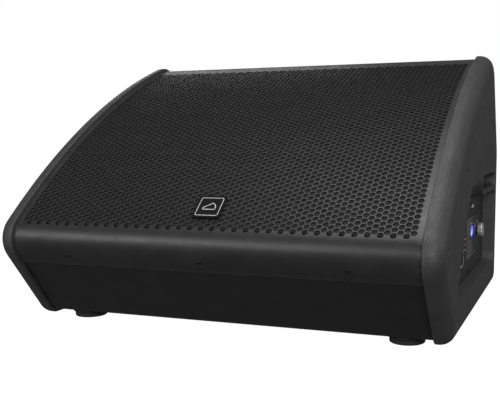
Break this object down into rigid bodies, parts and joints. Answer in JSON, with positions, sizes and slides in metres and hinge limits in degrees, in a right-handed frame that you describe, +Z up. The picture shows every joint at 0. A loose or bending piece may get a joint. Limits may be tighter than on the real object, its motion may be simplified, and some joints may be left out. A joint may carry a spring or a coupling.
{
  "type": "stage monitor wedge",
  "caption": "Powered coaxial floor monitor: wedge box with a curved perforated grille, thick rounded cheeks, side hand pockets and a recessed control panel with display and knob.",
  "frame": {"origin": "on the floor, under the centre of the bounding box", "axes": "+Z up, +X towards the cheek that carries the amplifier, -Y towards the low edge that the grille slopes down to"},
  "size_m": [0.612, 0.5299, 0.383],
  "materials": {
    "cabinet_paint": "plywood under smooth satin black paint",
    "bare_ply": "bare plywood",
    "grained_plastic": "fine leather grain, low sheen",
    "moulded_black": "fine satin moulding",
    "gloss_black": "gloss",
    "silver_plastic": "satin silver, ribbed",
    "display_window": "backlit window",
    "grille_coat": "satin black powder coat",
    "open_foam": "open-cell foam",
    "soft_rubber": "matt",
    "black_steel": "black passivated steel",
    "bright_steel": "bright pressed steel",
    "cast_aluminium": "cast, bead blasted",
    "ferrite": "ground grey ceramic",
    "dome_metal": "thin drawn metal",
    "paper_pulp": "pressed paper pulp",
    "treated_cloth": "resin-treated cloth",
    "copper_winding": "enamelled wire",
    "circuit_board": "green solder mask"
  },
  "bodies": {
    "cabinet": {"bottom_panel": "cabinet_paint", "rear_lower_panel": "cabinet_paint", "rear_upper_panel": "cabinet_paint", "top_rail": "cabinet_paint", "front_panel": "cabinet_paint", "right_end_panel": "cabinet_paint", "left_end_panel": "cabinet_paint", "right_cheek": "grained_plastic", "left_cheek": "grained_plastic", "right_hand_cup": "moulded_black", "left_hand_cup": "moulded_black", "pole_cup": "moulded_black", "grille": "grille_coat", "grille_foam": "open_foam", "badge": "gloss_black", "grille_screw_left": "black_steel", "grille_screw_middle": "black_steel", "grille_screw_right": "black_steel", "baffle": "bare_ply", "nose_block": "bare_ply", "left_port": "moulded_black", "right_port": "moulded_black", "driver_basket": "cast_aluminium", "driver_gasket": "soft_rubber", "cone_surround": "soft_rubber", "spider": "treated_cloth", "top_plate": "black_steel", "ferrite_magnet": "ferrite", "back_plate_and_pole": "black_steel", "hf_horn": "moulded_black", "hf_motor": "black_steel", "hf_rear_cap": "cast_aluminium", "amp_panel": "moulded_black", "control_insert": "gloss_black", "display": "display_window", "encoder_body": "moulded_black", "rocker_frame": "moulded_black", "mains_inlet": "moulded_black", "network_sockets": "moulded_black", "xlr_input": "moulded_black", "xlr_link": "moulded_black", "amp_chassis": "black_steel", "power_board": "circuit_board", "amp_board": "circuit_board", "signal_board": "circuit_board", "mains_transformer": "ferrite", "heat_sink": "cast_aluminium", "woofer_lead": "soft_rubber", "hf_lead": "soft_rubber", "foot_front_left": "soft_rubber", "foot_front_right": "soft_rubber", "foot_rear_left": "soft_rubber", "foot_rear_right": "soft_rubber"},
    "cone_and_coil": {"cone": "paper_pulp", "voice_coil": "copper_winding"},
    "hf_dome": {"hf_diaphragm": "dome_metal"},
    "encoder_push": {"encoder_plunger": "silver_plastic"},
    "knob": {"encoder_knob": "silver_plastic"},
    "rocker": {"power_rocker": "gloss_black"},
    "input_latch": {"xlr_latch_tab": "bright_steel"}
  },
  "joints": [
    {"name": "cone_travel", "type": "slide", "parent": "cabinet", "child": "cone_and_coil", "axis": [0, -0.4839, 0.8752], "range_m": [-0.005, 0.005], "stiffness_N_per_m": 6000, "deforming": ["cone_surround", "spider"]},
    {"name": "hf_dome_travel", "type": "slide", "parent": "cabinet", "child": "hf_dome", "axis": [0, -0.4839, 0.8752], "range_m": [-0.0003, 0.0003], "stiffness_N_per_m": 10000},
    {"name": "knob_press", "type": "slide", "parent": "cabinet", "child": "encoder_push", "axis": [-1, 0, 0], "range_m": [0, 0.0008], "stiffness_N_per_m": 5000},
    {"name": "knob_turn", "type": "hinge", "parent": "encoder_push", "child": "knob", "pos_m": [0.29, 0.144, 0.111], "axis": [1, 0, 0], "continuous": true},
    {"name": "rocker_tip", "type": "hinge", "parent": "cabinet", "child": "rocker", "pos_m": [0.283, -0.046, 0.088], "axis": [0, 1, 0], "range_deg": [0, 18]},
    {"name": "latch_press", "type": "slide", "parent": "cabinet", "child": "input_latch", "axis": [-1, 0, 0], "range_m": [0, 0.002], "stiffness_N_per_m": 1500}
  ]
}
